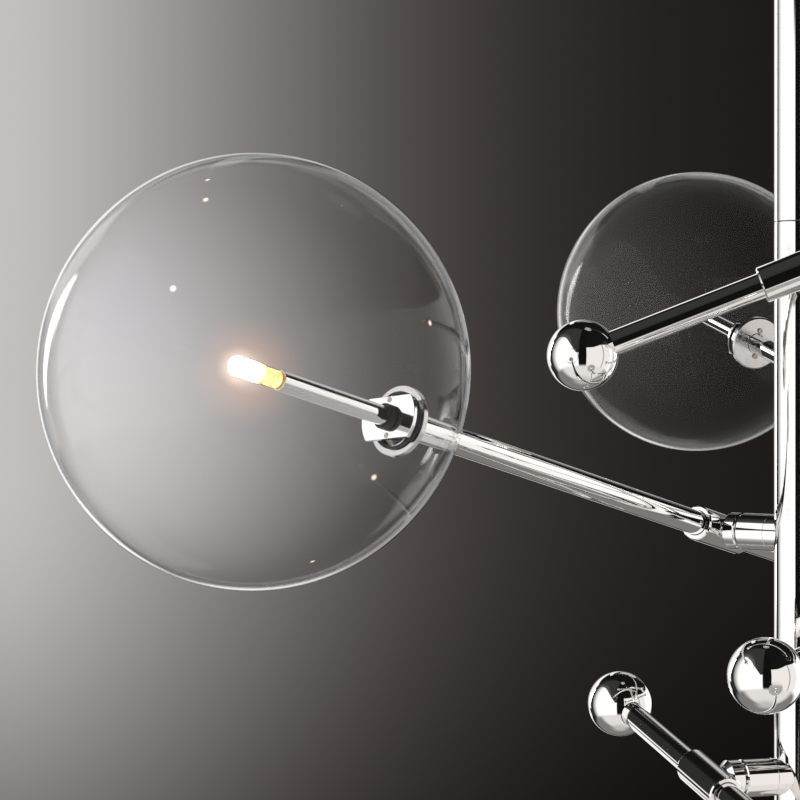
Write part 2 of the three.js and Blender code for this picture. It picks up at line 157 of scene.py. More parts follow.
# Lamp tube, its collar, and the bulb
FOOT_BACK = 284.8
FOOT_RADIUS = 6.5
FOOT_HEIGHT = 3.5
FOOT_GAP = 0.05
SPIGOT_RADIUS = 4.0
SPIGOT_BORE = 3.0
SPIGOT_START = 270.1
LAMP_RADIUS = 5.0
LAMP_BORE = 4.0
LAMP_END = 361.0
HOLDER_DEPTH = 6.0
HOLDER_BORE = 2.0
BULB_SEAT = 361.3
BULB_BASE_RADIUS = 4.6
BULB_BASE_END = 370.3
BULB_NECK_RADIUS = 4.1
BULB_BODY_START = 371.8
BULB_RADIUS = 5.0
BULB_TIP = 391.1
BULB_WALL = 0.2
BULB_THICKER = 0.1
CORE_MARGIN = 0.1
CORE_TIP_EDGE = 3.9

# Where the bulb turns: at its floor, the end of its base, its neck and its shoulder. For its
# outside, its inside and its core, how far past those levels they turn, and how round
BULB_LEVELS = (BULB_SEAT, BULB_BASE_END, BULB_BASE_END, BULB_BODY_START)
OUTSIDE_TURNS = ((0.0, 0.4), (0.0, 0.5), (0.7, 0.5), (0.8, 0.8))
INSIDE_TURNS = ((0.5, 0.3), (-0.3, 0.5), (0.6, 0.5), (1.0, 0.8))
CORE_TURNS = ((0.7, 0.6), (-0.6, 0.8), (0.4, 0.6), (1.2, 0.8))

# Compass direction and rise of each arm in degrees, drop of its pivot below the seam, and
# distance of the pivot from the stem's axis
ARMS = {
    1: (-8.3, 21.2, 30.5, 54.0),
    2: (107.1, 14.1, 128.0, 104.0),
    3: (226.9, 13.5, 175.0, 54.0),
    4: (50.2, 7.0, 224.0, 54.0),
    5: (-71.6, -12.7, 310.5, 54.0),
}

# The bulb at the back is dark in the photograph
UNLIT_ARM = 2

# Sides round the turned pieces
FINE_SIDES = 144
TUBE_SIDES = 96
SMALL_SIDES = 48
GLOBE_SIDES = 192
STRAP_SIDES = 288

# Steps along the curves of their profiles
GLOBE_STEPS = 120
BALL_STEPS = 72
DOME_STEPS = 16
LIP_SHARES = (0.25, 0.5, 0.75)
SADDLE_SHARES = (0.0, 0.25, 0.5, 0.75, 0.97, 1.0)

# Rounding of the turned edges
SLIGHT_EDGE = 0.05
CRISP_EDGE = 0.1
THIN_EDGE = 0.15
SMALL_EDGE = 0.2
EDGE = 0.25
SOFT_EDGE = 0.3
ROUND_EDGE = 0.8
EDGE_STEPS = 4

# Length of the held edge beside a rounding, and the most that a rounding and a held edge take
# of the shorter side at their corner
HOLD = 0.08
ROUNDING_SHARE = 0.45
HOLD_SHARE = 0.04

# Edges sharper than this stay sharp in the shading
SHARP_ANGLE = math.radians(35)

# Radius below which a point lies on the axis, and distance at which two points are one
ON_AXIS = 1e-6
SAME_PLACE = 1e-5

AXIS_TURNS = {
    "X": Matrix.Rotation(math.pi / 2, 4, "Y"),
    "Y": Matrix.Rotation(-math.pi / 2, 4, "X"),
    "-Y": Matrix.Rotation(math.pi / 2, 4, "X"),
    "Z": Matrix.Identity(4),
}


def rounded(corners, closed=False):
    """A profile from corners (radius, level, rounding), with a held edge beside each round."""
    count = len(corners)
    points = []
    for index, (radius, level, rounding) in enumerate(corners):
        at_end = not closed and index in (0, count - 1)
        if rounding <= 0 or at_end:
            points.append((radius, level))
            continue
        here = Vector((radius, level))
        to_before = Vector(corners[index - 1][:2]) - here
        to_after = Vector(corners[(index + 1) % count][:2]) - here
        shorter = min(to_before.length, to_after.length)
        half = to_before.angle(to_after) / 2
        reach = min(rounding / math.tan(half), ROUNDING_SHARE * shorter)
        hold = min(HOLD, HOLD_SHARE * shorter)
        to_before.normalize()
        to_after.normalize()
        start = here + to_before * reach
        end = here + to_after * reach
        size = reach * math.tan(half)
        centre = here + (to_before + to_after).normalized() * (size / math.sin(half))
        turn = (start - centre).angle_signed(end - centre)
        points.append(tuple(start + to_before * hold))
        for step in range(EDGE_STEPS + 1):
            spoke = start - centre
            spoke.rotate(Matrix.Rotation(-turn * step / EDGE_STEPS, 2))
            points.append(tuple(centre + spoke))
        points.append(tuple(end + to_after * hold))
    return points


def arc(centre_level, radius, first, last, steps):
    """Points of an arc about a place on the axis, with angles in degrees from the radius."""
    points = []
    for step in range(steps + 1):
        angle = math.radians(first + (last - first) * step / steps)
        points.append((radius * math.cos(angle), centre_level + radius * math.sin(angle)))
    return points


def lathe(name, profile, sides, axis="Z", closed=False):
    """A turned mesh in metres. The profile is a list of (radius, level), or a function that
    gives one for an angle."""
    mesh_maker = bmesh.new()
    rings = []
    for side in range(sides):
        angle = 2 * math.pi * side / sides
        points = profile(angle) if callable(profile) else profile
        rings.append([
            (radius * math.cos(angle), radius * math.sin(angle), level) for radius, level in points
        ])
    length = len(rings[0])
    poles = {}
    grid = []
    for ring in rings:
        column = []
        for index, place in enumerate(ring):
            on_axis = abs(place[0]) < ON_AXIS and abs(place[1]) < ON_AXIS
            if on_axis and index in poles:
                column.append(poles[index])
                continue
            vertex = mesh_maker.verts.new(place)
            if on_axis:
                poles[index] = vertex
            column.append(vertex)
        grid.append(column)
    steps = length if closed else length - 1
    for side in range(sides):
        here, there = grid[side], grid[(side + 1) % sides]
        for index in range(steps):
            following = (index + 1) % length
            corners = [here[index], there[index], there[following], here[following]]
            unique = list(dict.fromkeys(corners))
            if len(unique) > 2:
                mesh_maker.faces.new(unique)
    mesh_maker.transform(AXIS_TURNS[axis])
    bmesh.ops.remove_doubles(mesh_maker, verts=mesh_maker.verts, dist=SAME_PLACE)
    bmesh.ops.recalc_face_normals(mesh_maker, faces=mesh_maker.faces)
    mesh_maker.transform(Matrix.Scale(MM, 4))
    return mesh_from(name, mesh_maker)


def smoothed(mesh):
    """The mesh, shaded smooth except at sharp edges."""
    mesh.shade_smooth()
    mesh.set_sharp_from_angle(angle=SHARP_ANGLE)
    return mesh


def mesh_from(name, mesh_maker):
    """A smooth mesh of what the maker holds."""
    mesh = bpy.data.meshes.new(name)
    mesh_maker.to_mesh(mesh)
    mesh_maker.free()
    return smoothed(mesh)


def joined(name, meshes, places=None):
    """One mesh from several that don't touch."""
    mesh_maker = bmesh.new()
    for index, mesh in enumerate(meshes):
        copy = mesh.copy()
        if places:
            copy.transform(places[index])
        mesh_maker.from_mesh(copy)
        bpy.data.meshes.remove(copy)
    return mesh_from(name, mesh_maker)


def united(name, first, second):
    """The solid union of two closed meshes."""
    base = bpy.data.objects.new(name + "_base", first)
    tool = bpy.data.objects.new(name + "_tool", second)
    for piece in (base, tool):
        bpy.context.scene.collection.objects.link(piece)
    modifier = base.modifiers.new("union", "BOOLEAN")
    modifier.operation = "UNION"
    modifier.solver = "EXACT"
    modifier.object = tool
    bpy.context.view_layer.update()
    depsgraph = bpy.context.evaluated_depsgraph_get()
    result = bpy.data.meshes.new_from_object(base.evaluated_get(depsgraph))
    for piece in (base, tool):
        bpy.data.objects.remove(piece)
    result.name = name
    return smoothed(result)


# Node trees

# Sockets of a mix node's colours
MIX_AMOUNT = 0
MIX_FIRST = 6
MIX_SECOND = 7
MIX_RESULT = 2


class Nodes:
    """Short ways to add and link shader nodes."""

    def __init__(self, tree):
        self.tree = tree
        tree.nodes.clear()

    def add(self, kind, **settings):
        node = self.tree.nodes.new(kind)
        for key, value in settings.items():
            setattr(node, key, value)
        return node

    def put(self, socket, value):
        if isinstance(value, bpy.types.NodeSocket):
            self.tree.links.new(value, socket)
        else:
            socket.default_value = value

    def fill(self, node, values):
        """Give each named input of a node its value."""
        for name, value in values.items():
            self.put(node.inputs[name], value)

    def math(self, operation, *values):
        node = self.add("ShaderNodeMath", operation=operation)
        for socket, value in zip(node.inputs, values):
            self.put(socket, value)
        return node.outputs[0]

    def times(self, first, second):
        return self.math("MULTIPLY", first, second)

    def square(self, value):
        return self.math("POWER", value, 2.0)

    def distance(self, across, upward):
        return self.math("SQRT", self.math("ADD", self.square(across), self.square(upward)))

    def parts(self, vector):
        """The x, y and z of a vector."""
        node = self.add("ShaderNodeSeparateXYZ")
        self.put(node.inputs[0], vector)
        return node.outputs

    def mapped(self, kind, *values):
        """A value mapped from one range to another, and held at its ends."""
        node = self.add("ShaderNodeMapRange", interpolation_type=kind, clamp=True)
        for socket, item in zip(node.inputs, values):
            self.put(socket, item)
        return node.outputs["Result"]

    def ramp(self, value, low, high, to_low=0.0, to_high=1.0):
        """A soft step between two levels."""
        return self.mapped("SMOOTHSTEP", value, low, high, to_low, to_high)

    def slope(self, value, low, high, to_low=0.0, to_high=1.0):
        """A straight slope between two levels."""
        return self.mapped("LINEAR", value, low, high, to_low, to_high)

    def below(self, value, low, high):
        """One below the low level and zero above the high one."""
        return self.ramp(value, low, high, 1.0, 0.0)

    def window(self, value, low, high, soft):
        """One between the low and the high level, and zero outside them."""
        return self.times(
            self.ramp(value, low - soft, low + soft),
            self.below(value, high - soft, high + soft),
        )

    def patch(self, side, rise, side_span, rise_span):
        """One in a patch of directions, and zero outside it."""
        return self.times(self.window(side, *side_span), self.window(rise, *rise_span))

    def mix(self, amount, first, second, blend="MIX"):
        node = self.add("ShaderNodeMix", data_type="RGBA", blend_type=blend)
        self.put(node.inputs[MIX_AMOUNT], amount)
        self.put(node.inputs[MIX_FIRST], first)
        self.put(node.inputs[MIX_SECOND], second)
        return node.outputs[MIX_RESULT]

    def fade(self, value, low, high, first, last):
        """The first colour below the low level, and the last above the high one."""
        return self.mix(self.ramp(value, low, high), first, last)

    def noise(self, vector, scale, detail=2.0):
        node = self.add("ShaderNodeTexNoise")
        self.fill(node, {"Vector": vector, "Scale": scale, "Detail": detail})
        return node.outputs["Fac"]

    def bump(self, height, strength, distance):
        node = self.add("ShaderNodeBump")
        self.fill(node, {"Strength": strength, "Distance": distance, "Height": height})
        return node.outputs["Normal"]

    def object_place(self):
        return self.add("ShaderNodeTexCoord").outputs["Object"]


# Green and blue of a warm grey, for a red of one
WARM_GREEN = 0.965
WARM_BLUE = 0.945


def grey(value):
    return (value, value, value, 1.0)


def warm(value):
    return (value, value * WARM_GREEN, value * WARM_BLUE, 1.0)


BLACK = grey(0.0)
WHITE = grey(1.0)


# Materials

# How much finer than a metal's clouds its polish and its waves are, and the depth of its waves
METAL_GRAIN = 9
METAL_WAVE = 1.6
METAL_DEPTH = 0.0004

# Scales of the clouds and waves of the glass, and the depth of its waves
GLASS_CLOUD = 9.0
GLASS_WAVE = 16.0
GLASS_STRENGTH = 0.05
GLASS_DEPTH = 0.0006

# Roughness of rubber and plastic where it is least, and the depth of its grain
MATT_ROUGHNESS = 0.35
MATT_DEPTH = 0.0001

# Plastic: its clouds, its grain, its roughness where it is most, and how strong its grain is
PLASTIC = {"cloud": (30.0,), "grain": 900.0, "roughest": 0.5, "relief": 0.15}

# Detail of the noises, and the levels between which they count
FINE_DETAIL = 3.0
FINEST_DETAIL = 4.0
WAVE_DETAIL = 1.0
NOISE_LOW = 0.3
NOISE_HIGH = 0.7
POLISH_HIGH = 0.75

# Colours of the lit bulb: the light of its body, base, specks and root, and its own colours
BODY_LIGHT = (1.0, 0.88, 0.70, 1.0)
BASE_LIGHT = (1.0, 0.85, 0.33, 1.0)
SPECK_LIGHT = (0.85, 0.45, 0.08, 1.0)
ROOT_LIGHT = (0.22, 0.1, 0.03, 1.0)
BULB_COLOUR = (1.0, 0.86, 0.5, 1.0)
BULB_SPECK_COLOUR = (0.7, 0.45, 0.15, 1.0)

# Where its light grows hot past the end of its base, how fast, and how far up its root is brown
HEAT_START = 1.0
HEAT_END = 12.0
HEAT_POWER = 4.0
ROOT_END = 2.2

# Its specks: the scale and levels of their noise, and how much they show in its light
SPECK_SCALE = 420.0
SPECK_LOW = 0.45
SPECK_HIGH = 0.62
SPECK_SHARE = 0.7

BULB_ROUGHNESS = 0.4


def new_material(name):
    material = bpy.data.materials.new(name)
    material.use_nodes = True
    nodes = Nodes(material.node_tree)
    shader = nodes.add("ShaderNodeBsdfPrincipled")
    output = nodes.add("ShaderNodeOutputMaterial")
    nodes.tree.links.new(shader.outputs[0], output.inputs["Surface"])
    return material, nodes, shader


def metal(name, colour, dark_colour, roughness, rough_spread, wave_strength, grain):
    """Polished or plated metal: faint waviness from polishing, and a slightly uneven polish."""
    material, nodes, shader = new_material(name)
    place = nodes.object_place()
    polish = nodes.noise(place, grain * METAL_GRAIN, FINEST_DETAIL)
    roughest = roughness + rough_spread
    wave = nodes.noise(place, grain * METAL_WAVE, WAVE_DETAIL)
    nodes.fill(shader, {
        "Base Color": nodes.mix(nodes.noise(place, grain), colour, dark_colour),
        "Metallic": 1.0,
        "Roughness": nodes.ramp(polish, NOISE_LOW, POLISH_HIGH, roughness, roughest),
        "Normal": nodes.bump(wave, wave_strength, METAL_DEPTH),
    })
    return material


def glass(name, tint, ior):
    """Clear blown glass with a faint waviness."""
    material, nodes, shader = new_material(name)
    place = nodes.object_place()
    wave = nodes.noise(place, GLASS_WAVE, WAVE_DETAIL)
    nodes.fill(shader, {
        "Base Color": nodes.mix(nodes.noise(place, GLASS_CLOUD), WHITE, tint),
        "Roughness": 0.0,
        "IOR": ior,
        "Transmission Weight": 1.0,
        "Normal": nodes.bump(wave, GLASS_STRENGTH, GLASS_DEPTH),
    })
    return material


def matt(name, colour, dark_colour, cloud, grain, roughest, relief):
    """Rubber or plastic: faint clouds, and a fine grain that stands up and is rougher there."""
    material, nodes, shader = new_material(name)
    place = nodes.object_place()
    fine = nodes.noise(place, grain, FINE_DETAIL)
    nodes.fill(shader, {
        "Base Color": nodes.mix(nodes.noise(place, *cloud), colour, dark_colour),
        "Roughness": nodes.ramp(fine, NOISE_LOW, NOISE_HIGH, MATT_ROUGHNESS, roughest),
        "Normal": nodes.bump(fine, relief, MATT_DEPTH),
    })
    return material


def glow(name, hot, warm_light):
    """The lit inside of the bulb: white hot in its body, yellow in its base, brown at its root."""
    material, nodes, shader = new_material(name)
    place = nodes.object_place()
    along = nodes.parts(place)["X"]
    heat = nodes.ramp(along, (BULB_BASE_END + HEAT_START) * MM, (BULB_BASE_END + HEAT_END) * MM)
    speck = nodes.ramp(nodes.noise(place, SPECK_SCALE), SPECK_LOW, SPECK_HIGH)
    yellow = nodes.mix(nodes.times(speck, SPECK_SHARE), BASE_LIGHT, SPECK_LIGHT)
    yellow = nodes.fade(along, BULB_SEAT * MM, (BULB_SEAT + ROOT_END) * MM, ROOT_LIGHT, yellow)
    heat_power = nodes.math("POWER", heat, HEAT_POWER)
    nodes.fill(shader, {
        "Base Color": nodes.mix(speck, BULB_COLOUR, BULB_SPECK_COLOUR),
        "Emission Color": nodes.mix(heat, yellow, BODY_LIGHT),
        "Emission Strength": nodes.math("MULTIPLY_ADD", heat_power, hot, warm_light),
        "Roughness": BULB_ROUGHNESS,
    })
    return material


nickel = metal(
    "polished_nickel",
    colour=(0.87, 0.86, 0.84, 1.0),
    dark_colour=(0.84, 0.825, 0.80, 1.0),
    roughness=0.015,
    rough_spread=0.025,
    wave_strength=0.02,
    grain=22.0,
)
satin_nickel = metal(
    "satin_nickel",
    colour=(0.62, 0.62, 0.61, 1.0),
    dark_colour=(0.52, 0.52, 0.51, 1.0),
    roughness=0.1,
    rough_spread=0.12,
    wave_strength=0.05,
    grain=40.0,
)
zinc = metal(
    "zinc_steel",
    colour=(0.62, 0.64, 0.66, 1.0),
    dark_colour=(0.5, 0.52, 0.55, 1.0),
    roughness=0.28,
    rough_spread=0.14,
    wave_strength=0.2,
    grain=60.0,
)
brass = metal(
    "strap_brass",
    colour=(0.50, 0.43, 0.35, 1.0),
    dark_colour=(0.36, 0.30, 0.24, 1.0),
    roughness=0.2,
    rough_spread=0.1,
    wave_strength=0.1,
    grain=60.0,
)
clear_glass = glass("clear_glass", tint=(0.99, 0.985, 0.98, 1.0), ior=1.12)
bulb_glass = glass("bulb_glass", tint=(1.0, 0.96, 0.86, 1.0), ior=1.06)
black_rubber = matt(
    "black_rubber",
    colour=grey(0.012),
    dark_colour=grey(0.03),
    cloud=(400.0, FINE_DETAIL),
    grain=400.0,
    roughest=0.55,
    relief=0.1,
)
white_plastic = matt(
    "white_plastic",
    colour=(0.80, 0.80, 0.77, 1.0),
    dark_colour=(0.74, 0.74, 0.71, 1.0),
    **PLASTIC,
)
bulb_frost = matt(
    "bulb_frost",
    colour=(0.86, 0.87, 0.86, 1.0),
    dark_colour=(0.78, 0.79, 0.78, 1.0),
    **PLASTIC,
)
bulb_glow = glow("bulb_glow", hot=420.0, warm_light=1.1)


def show(name, mesh, material, body, slot, nodes=(), matrix=None):
    """Show a mesh in its place, with its finish, its body and the CAD nodes it stands for."""
    piece = bpy.data.objects.new(name, mesh)
    if not mesh.materials:
        mesh.materials.append(material)
    bpy.context.scene.collection.objects.link(piece)
    if matrix is not None:
        piece.matrix_world = matrix
    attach(piece, body)
    if nodes:
        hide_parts(*nodes)


# Canopy, collar and stem


def canopy_mesh():
    inner = CANOPY_RADIUS - CANOPY_WALL
    profile = rounded([
        (PLUG_HOLE, CANOPY_BOTTOM, EDGE),
        (CANOPY_RADIUS, CANOPY_BOTTOM, CANOPY_EDGE),
        (CANOPY_RADIUS, -CEILING_GAP, EDGE),
        (inner, -CEILING_GAP, EDGE),
        (inner, CANOPY_BOTTOM + CANOPY_WALL, CANOPY_EDGE - CANOPY_WALL),
        (PLUG_HOLE, CANOPY_BOTTOM + CANOPY_WALL, EDGE),
    ], closed=True)
    return lathe("canopy_shell", profile, FINE_SIDES, closed=True)


def collar_mesh():
    profile = rounded([
        (PLUG_HOLE, COLLAR_BOTTOM, 0.0),
        (COLLAR_RADIUS - COLLAR_CHAMFER, COLLAR_BOTTOM, EDGE),
        (COLLAR_RADIUS, COLLAR_BOTTOM + COLLAR_CHAMFER, EDGE),
        (COLLAR_RADIUS, COLLAR_TOP - COLLAR_CHAMFER, EDGE),
        (COLLAR_RADIUS - COLLAR_CHAMFER, COLLAR_TOP, EDGE),
        (PLUG_HOLE, COLLAR_TOP, 0.0),
    ], closed=True)
    return lathe("collar_ring", profile, TUBE_SIDES, closed=True)


def stem_mesh(name, top, bottom, hole, plug_depth):
    """A stem tube with its plug at the top."""
    profile = rounded([
        (STEM_BORE, bottom, EDGE),
        (STEM_RADIUS, bottom, EDGE),
        (STEM_RADIUS, top, EDGE),
        (hole, top, 0.0),
        (hole, top - plug_depth, 0.0),
        (STEM_BORE, top - plug_depth, 0.0),
    ], closed=True)
    return lathe(name, profile, TUBE_SIDES, closed=True)


def finial_mesh():
    plug = STEM_BORE - FINIAL_PLUG_GAP
    profile = rounded([
        (0.0, FINIAL_BOTTOM, 0.0),
        (STEM_RADIUS, FINIAL_BOTTOM, FINIAL_EDGE),
        (STEM_RADIUS, FINIAL_TOP, EDGE),
        (plug, FINIAL_TOP, 0.0),
        (plug, FINIAL_TOP + FINIAL_PLUG, EDGE),
        (0.0, FINIAL_TOP + FINIAL_PLUG, 0.0),
    ])
    return lathe("finial_cap", profile, TUBE_SIDES)


upper_stem = stem_mesh("stem_upper", STEM_TOP, SEAM_LEVEL, PLUG_HOLE, PLUG_DEPTH)
lower_stem = stem_mesh(
    "stem_lower",
    COLUMN_TOP,
    COLUMN_BOTTOM,
    COLUMN_PLUG_HOLE,
    COLUMN_PLUG_DEPTH,
)
for name, mesh, body, node in (
    ("canopy_shell", canopy_mesh(), "ceiling_mount", "canopy"),
    ("collar_ring", collar_mesh(), "ceiling_mount", "canopy_collar"),
    ("stem_upper", upper_stem, "ceiling_mount", "upper_stem"),
    ("stem_lower", lower_stem, "column", "lower_column"),
    ("finial_cap", finial_mesh(), "column", "bottom_finial"),
):
    show(name, mesh, nickel, body, "polished_nickel", [node])


# Knuckles


def barrel_mesh(name, offset):
    """Barrel seated on the stem, with a fine seam, the groove's core and the pivot."""
    end = offset - HEAD_REACH - GROOVE_WIDTH
    core_end = offset - HEAD_REACH - CORE_GAP
    pivot_end = offset - HEAD_REACH + PIVOT_LENGTH - CORE_GAP
    saddle = STEM_RADIUS + SADDLE_GAP
    beyond = rounded([
        (BARREL_RADIUS, ROOT_SEAM - ROOT_SEAM_MARGIN, 0.0),
        (BARREL_RADIUS, ROOT_SEAM, CRISP_EDGE),
        (BARREL_RADIUS - ROOT_SEAM_DEPTH, ROOT_SEAM + ROOT_SEAM_WIDTH / 2, 0.0),
        (BARREL_RADIUS, ROOT_SEAM + ROOT_SEAM_WIDTH, CRISP_EDGE),
        (BARREL_RADIUS, end - KNUCKLE_CHAMFER, KNUCKLE_EDGE),
        (BARREL_RADIUS - KNUCKLE_CHAMFER, end, KNUCKLE_EDGE),
        (GROOVE_CORE, end, 0.0),
        (GROOVE_CORE, core_end, 0.0),
        (PIVOT_RADIUS, core_end, 0.0),
        (PIVOT_RADIUS, pivot_end, 0.0),
        (0.0, pivot_end, 0.0),
    ])

    def profile(angle):
        points = []
        for share in SADDLE_SHARES:
            radius = BARREL_RADIUS * share
            across = radius * math.cos(angle)
            points.append((radius, math.sqrt(saddle ** 2 - across ** 2)))
        return points + beyond

    return lathe(name, profile, FINE_SIDES, "-Y")


def head_mesh():
    """Tee head: the sleeve round the arm tube and the stub that faces the barrel."""
    sleeve = lathe("head_sleeve", rounded([
        (TUBE_HOLE, -SLEEVE_HALF, CRISP_EDGE),
        (SLEEVE_RADIUS - SLEEVE_CHAMFER, -SLEEVE_HALF, KNUCKLE_EDGE),
        (SLEEVE_RADIUS, -SLEEVE_HALF + SLEEVE_CHAMFER, KNUCKLE_EDGE),
        (SLEEVE_RADIUS, SLEEVE_HALF - SLEEVE_CHAMFER, KNUCKLE_EDGE),
        (SLEEVE_RADIUS - SLEEVE_CHAMFER, SLEEVE_HALF, KNUCKLE_EDGE),
        (TUBE_HOLE, SLEEVE_HALF, CRISP_EDGE),
    ], closed=True), FINE_SIDES, "X", closed=True)
    pivot_hole = PIVOT_RADIUS + CORE_GAP
    stub = lathe("head_stub", rounded([
        (0.0, STUB_START, 0.0),
        (BARREL_RADIUS - STUB_CHAMFER, STUB_START, 0.0),
        (BARREL_RADIUS, STUB_START + STUB_CHAMFER, SOFT_EDGE),
        (BARREL_RADIUS, HEAD_REACH - KNUCKLE_CHAMFER, KNUCKLE_EDGE),
        (BARREL_RADIUS - KNUCKLE_CHAMFER, HEAD_REACH, KNUCKLE_EDGE),
        (pivot_hole, HEAD_REACH, 0.0),
        (pivot_hole, HEAD_REACH - PIVOT_LENGTH, 0.0),
        (0.0, HEAD_REACH - PIVOT_LENGTH, 0.0),
    ]), FINE_SIDES, "Y")
    return united("knuckle_tee", sleeve, stub)


# Arm tube and ball


def arm_tube_mesh():
    return lathe("arm_pipe", rounded([
        (TUBE_BORE, TUBE_START, 0.0),
        (TUBE_RADIUS, TUBE_START, EDGE),
        (TUBE_RADIUS, TUBE_END, EDGE),
        (TUBE_BORE, TUBE_END, 0.0),
    ], closed=True), TUBE_SIDES, "X", closed=True)


def ball_mesh():
    mouth = math.degrees(math.acos(TUBE_HOLE / BALL_RADIUS))
    profile = [(0.0, BALL_CENTRE - BALL_RADIUS)]
    profile += arc(BALL_CENTRE, BALL_RADIUS, -90, mouth, BALL_STEPS)[1:]
    profile += [
        (TUBE_HOLE, BALL_CENTRE + BALL_RADIUS - BALL_SOCKET),
        (0.0, BALL_CENTRE + BALL_RADIUS - BALL_SOCKET),
    ]
    return lathe("counter_ball", profile, FINE_SIDES, "X")


# Globe and its fixings


def flange_mesh():
    return lathe("flange_disc", rounded([
        (SPIGOT_HOLE, FLANGE_BACK + FLANGE_SOCKET, 0.0),
        (TUBE_HOLE, FLANGE_BACK + FLANGE_SOCKET, 0.0),
        (TUBE_HOLE, FLANGE_BACK, CRISP_EDGE),
        (FLANGE_RADIUS - FLANGE_CHAMFER, FLANGE_BACK, SOFT_EDGE),
        (FLANGE_RADIUS, FLANGE_BACK + FLANGE_CHAMFER, SOFT_EDGE),
        (FLANGE_RADIUS, FLANGE_FACE, SMALL_EDGE),
        (RECESS_RADIUS, FLANGE_FACE, THIN_EDGE),
        (RECESS_RADIUS, FLANGE_FACE - RECESS_DEPTH, CRISP_EDGE),
        (SPIGOT_HOLE, FLANGE_FACE - RECESS_DEPTH, 0.0),
    ], closed=True), FINE_SIDES, "X", closed=True)


def glass_level(radius):
    """Level of the globe's outside where it has this radius, near its mouth."""
    return GLOBE_CENTRE - GLOBE_ALONG * math.sqrt(1 - (radius / GLOBE_ACROSS) ** 2)


def gasket_mesh():
    return lathe("gasket_ring", rounded([
        (GLOBE_HOLE, GASKET_BACK, THIN_EDGE),
        (GASKET_RADIUS, GASKET_BACK, SOFT_EDGE),
        (GASKET_RADIUS, glass_level(GASKET_RADIUS) - GASKET_GAP, SOFT_EDGE),
        (GLOBE_HOLE, glass_level(GLOBE_HOLE) - GASKET_GAP, THIN_EDGE),
    ], closed=True), FINE_SIDES, "X", closed=True)


def globe_arc(wall, first, last):
    """Points along the outside of the globe, or along its inside, a wall further in."""
    points = []
    for step in range(GLOBE_STEPS + 1):
        angle = math.radians(first + (last - first) * step / GLOBE_STEPS)
        radius = (GLOBE_ACROSS - wall) * math.cos(angle)
        points.append((radius, GLOBE_CENTRE + (GLOBE_ALONG - wall) * math.sin(angle)))
    return points


def globe_mesh():
    """Blown shell, a little wider than long, with a fire-polished mouth."""
    mouth_outside = -math.degrees(math.acos(GLOBE_HOLE / GLOBE_ACROSS))
    mouth_inside = -math.degrees(math.acos(GLOBE_HOLE / (GLOBE_ACROSS - GLOBE_WALL)))
    outside = globe_arc(0.0, mouth_outside, 90)
    inside = globe_arc(GLOBE_WALL, 90, mouth_inside)
    outside[-1] = (0.0, GLOBE_CENTRE + GLOBE_ALONG)
    inside[0] = (0.0, GLOBE_CENTRE + GLOBE_ALONG - GLOBE_WALL)
    middle = (outside[0][1] + inside[-1][1]) / 2
    lip = []
    for share in LIP_SHARES:
        radius = GLOBE_HOLE - LIP_BULGE * math.sin(math.pi * share)
        lip.append((radius, middle + GLOBE_WALL / 2 * math.cos(math.pi * share)))
    return lathe("globe_shell", outside + inside + lip, GLOBE_SIDES, "X", closed=True)


def strap_mesh():
    """Disc with two flats and a centre hole."""
    corner = math.acos(STRAP_HALF_WIDTH / STRAP_RADIUS)

    def profile(angle):
        radius = STRAP_RADIUS
        for middle in (0.0, math.pi):
            turn = abs((angle - middle + math.pi) % (2 * math.pi) - math.pi)
            if turn < corner:
                radius = STRAP_HALF_WIDTH / math.cos(turn)
        return rounded([
            (SPIGOT_HOLE, STRAP_BACK, 0.0),
            (radius, STRAP_BACK, EDGE),
            (radius, STRAP_FRONT, EDGE),
            (SPIGOT_HOLE, STRAP_FRONT, 0.0),
        ], closed=True)

    return lathe("strap_plate", profile, STRAP_SIDES, "X", closed=True)


def screw_mesh(name):
    """A strap screw: head outside the flange, shank, and end standing just proud of the strap."""
    head_base = FLANGE_BACK - SCREW_GAP
    head_top = head_base - SCREW_HEAD_HEIGHT
    tip = STRAP_FRONT + SCREW_PROUD
    return lathe(name, rounded([
        (0.0, head_top + SCREW_RECESS_DEPTH, 0.0),
        (SCREW_RECESS, head_top + SCREW_RECESS_DEPTH, 0.0),
        (SCREW_RECESS, head_top, SLIGHT_EDGE),
        (SCREW_HEAD, head_top, EDGE),
        (SCREW_HEAD, head_base, CRISP_EDGE),
        (SCREW_SHANK, head_base, 0.0),
        (SCREW_SHANK, tip, SMALL_EDGE),
        (0.0, tip, 0.0),
    ]), SMALL_SIDES, "X")


def lamp_tube_mesh():
    return lathe("lamp_pipe", rounded([
        (SPIGOT_BORE, SPIGOT_START, 0.0),
        (SPIGOT_RADIUS, SPIGOT_START, EDGE),
        (SPIGOT_RADIUS, FOOT_BACK, 0.0),
        (LAMP_RADIUS, FOOT_BACK, 0.0),
        (LAMP_RADIUS, LAMP_END, EDGE),
        (HOLDER_BORE, LAMP_END, CRISP_EDGE),
        (HOLDER_BORE, LAMP_END - HOLDER_DEPTH, 0.0),
        (LAMP_BORE, LAMP_END - HOLDER_DEPTH, 0.0),
        (LAMP_BORE, FOOT_BACK + FOOT_HEIGHT, 0.0),
        (SPIGOT_BORE, FOOT_BACK, 0.0),
    ], closed=True), TUBE_SIDES, "X", closed=True)


def lamp_collar_mesh():
    bore = LAMP_RADIUS + FOOT_GAP
    return lathe("lamp_collar", rounded([
        (bore, FOOT_BACK, CRISP_EDGE),
        (FOOT_RADIUS, FOOT_BACK, SOFT_EDGE),
        (FOOT_RADIUS, FOOT_BACK + FOOT_HEIGHT, ROUND_EDGE),
        (bore, FOOT_BACK + FOOT_HEIGHT, SMALL_EDGE),
    ], closed=True), TUBE_SIDES, "X", closed=True)


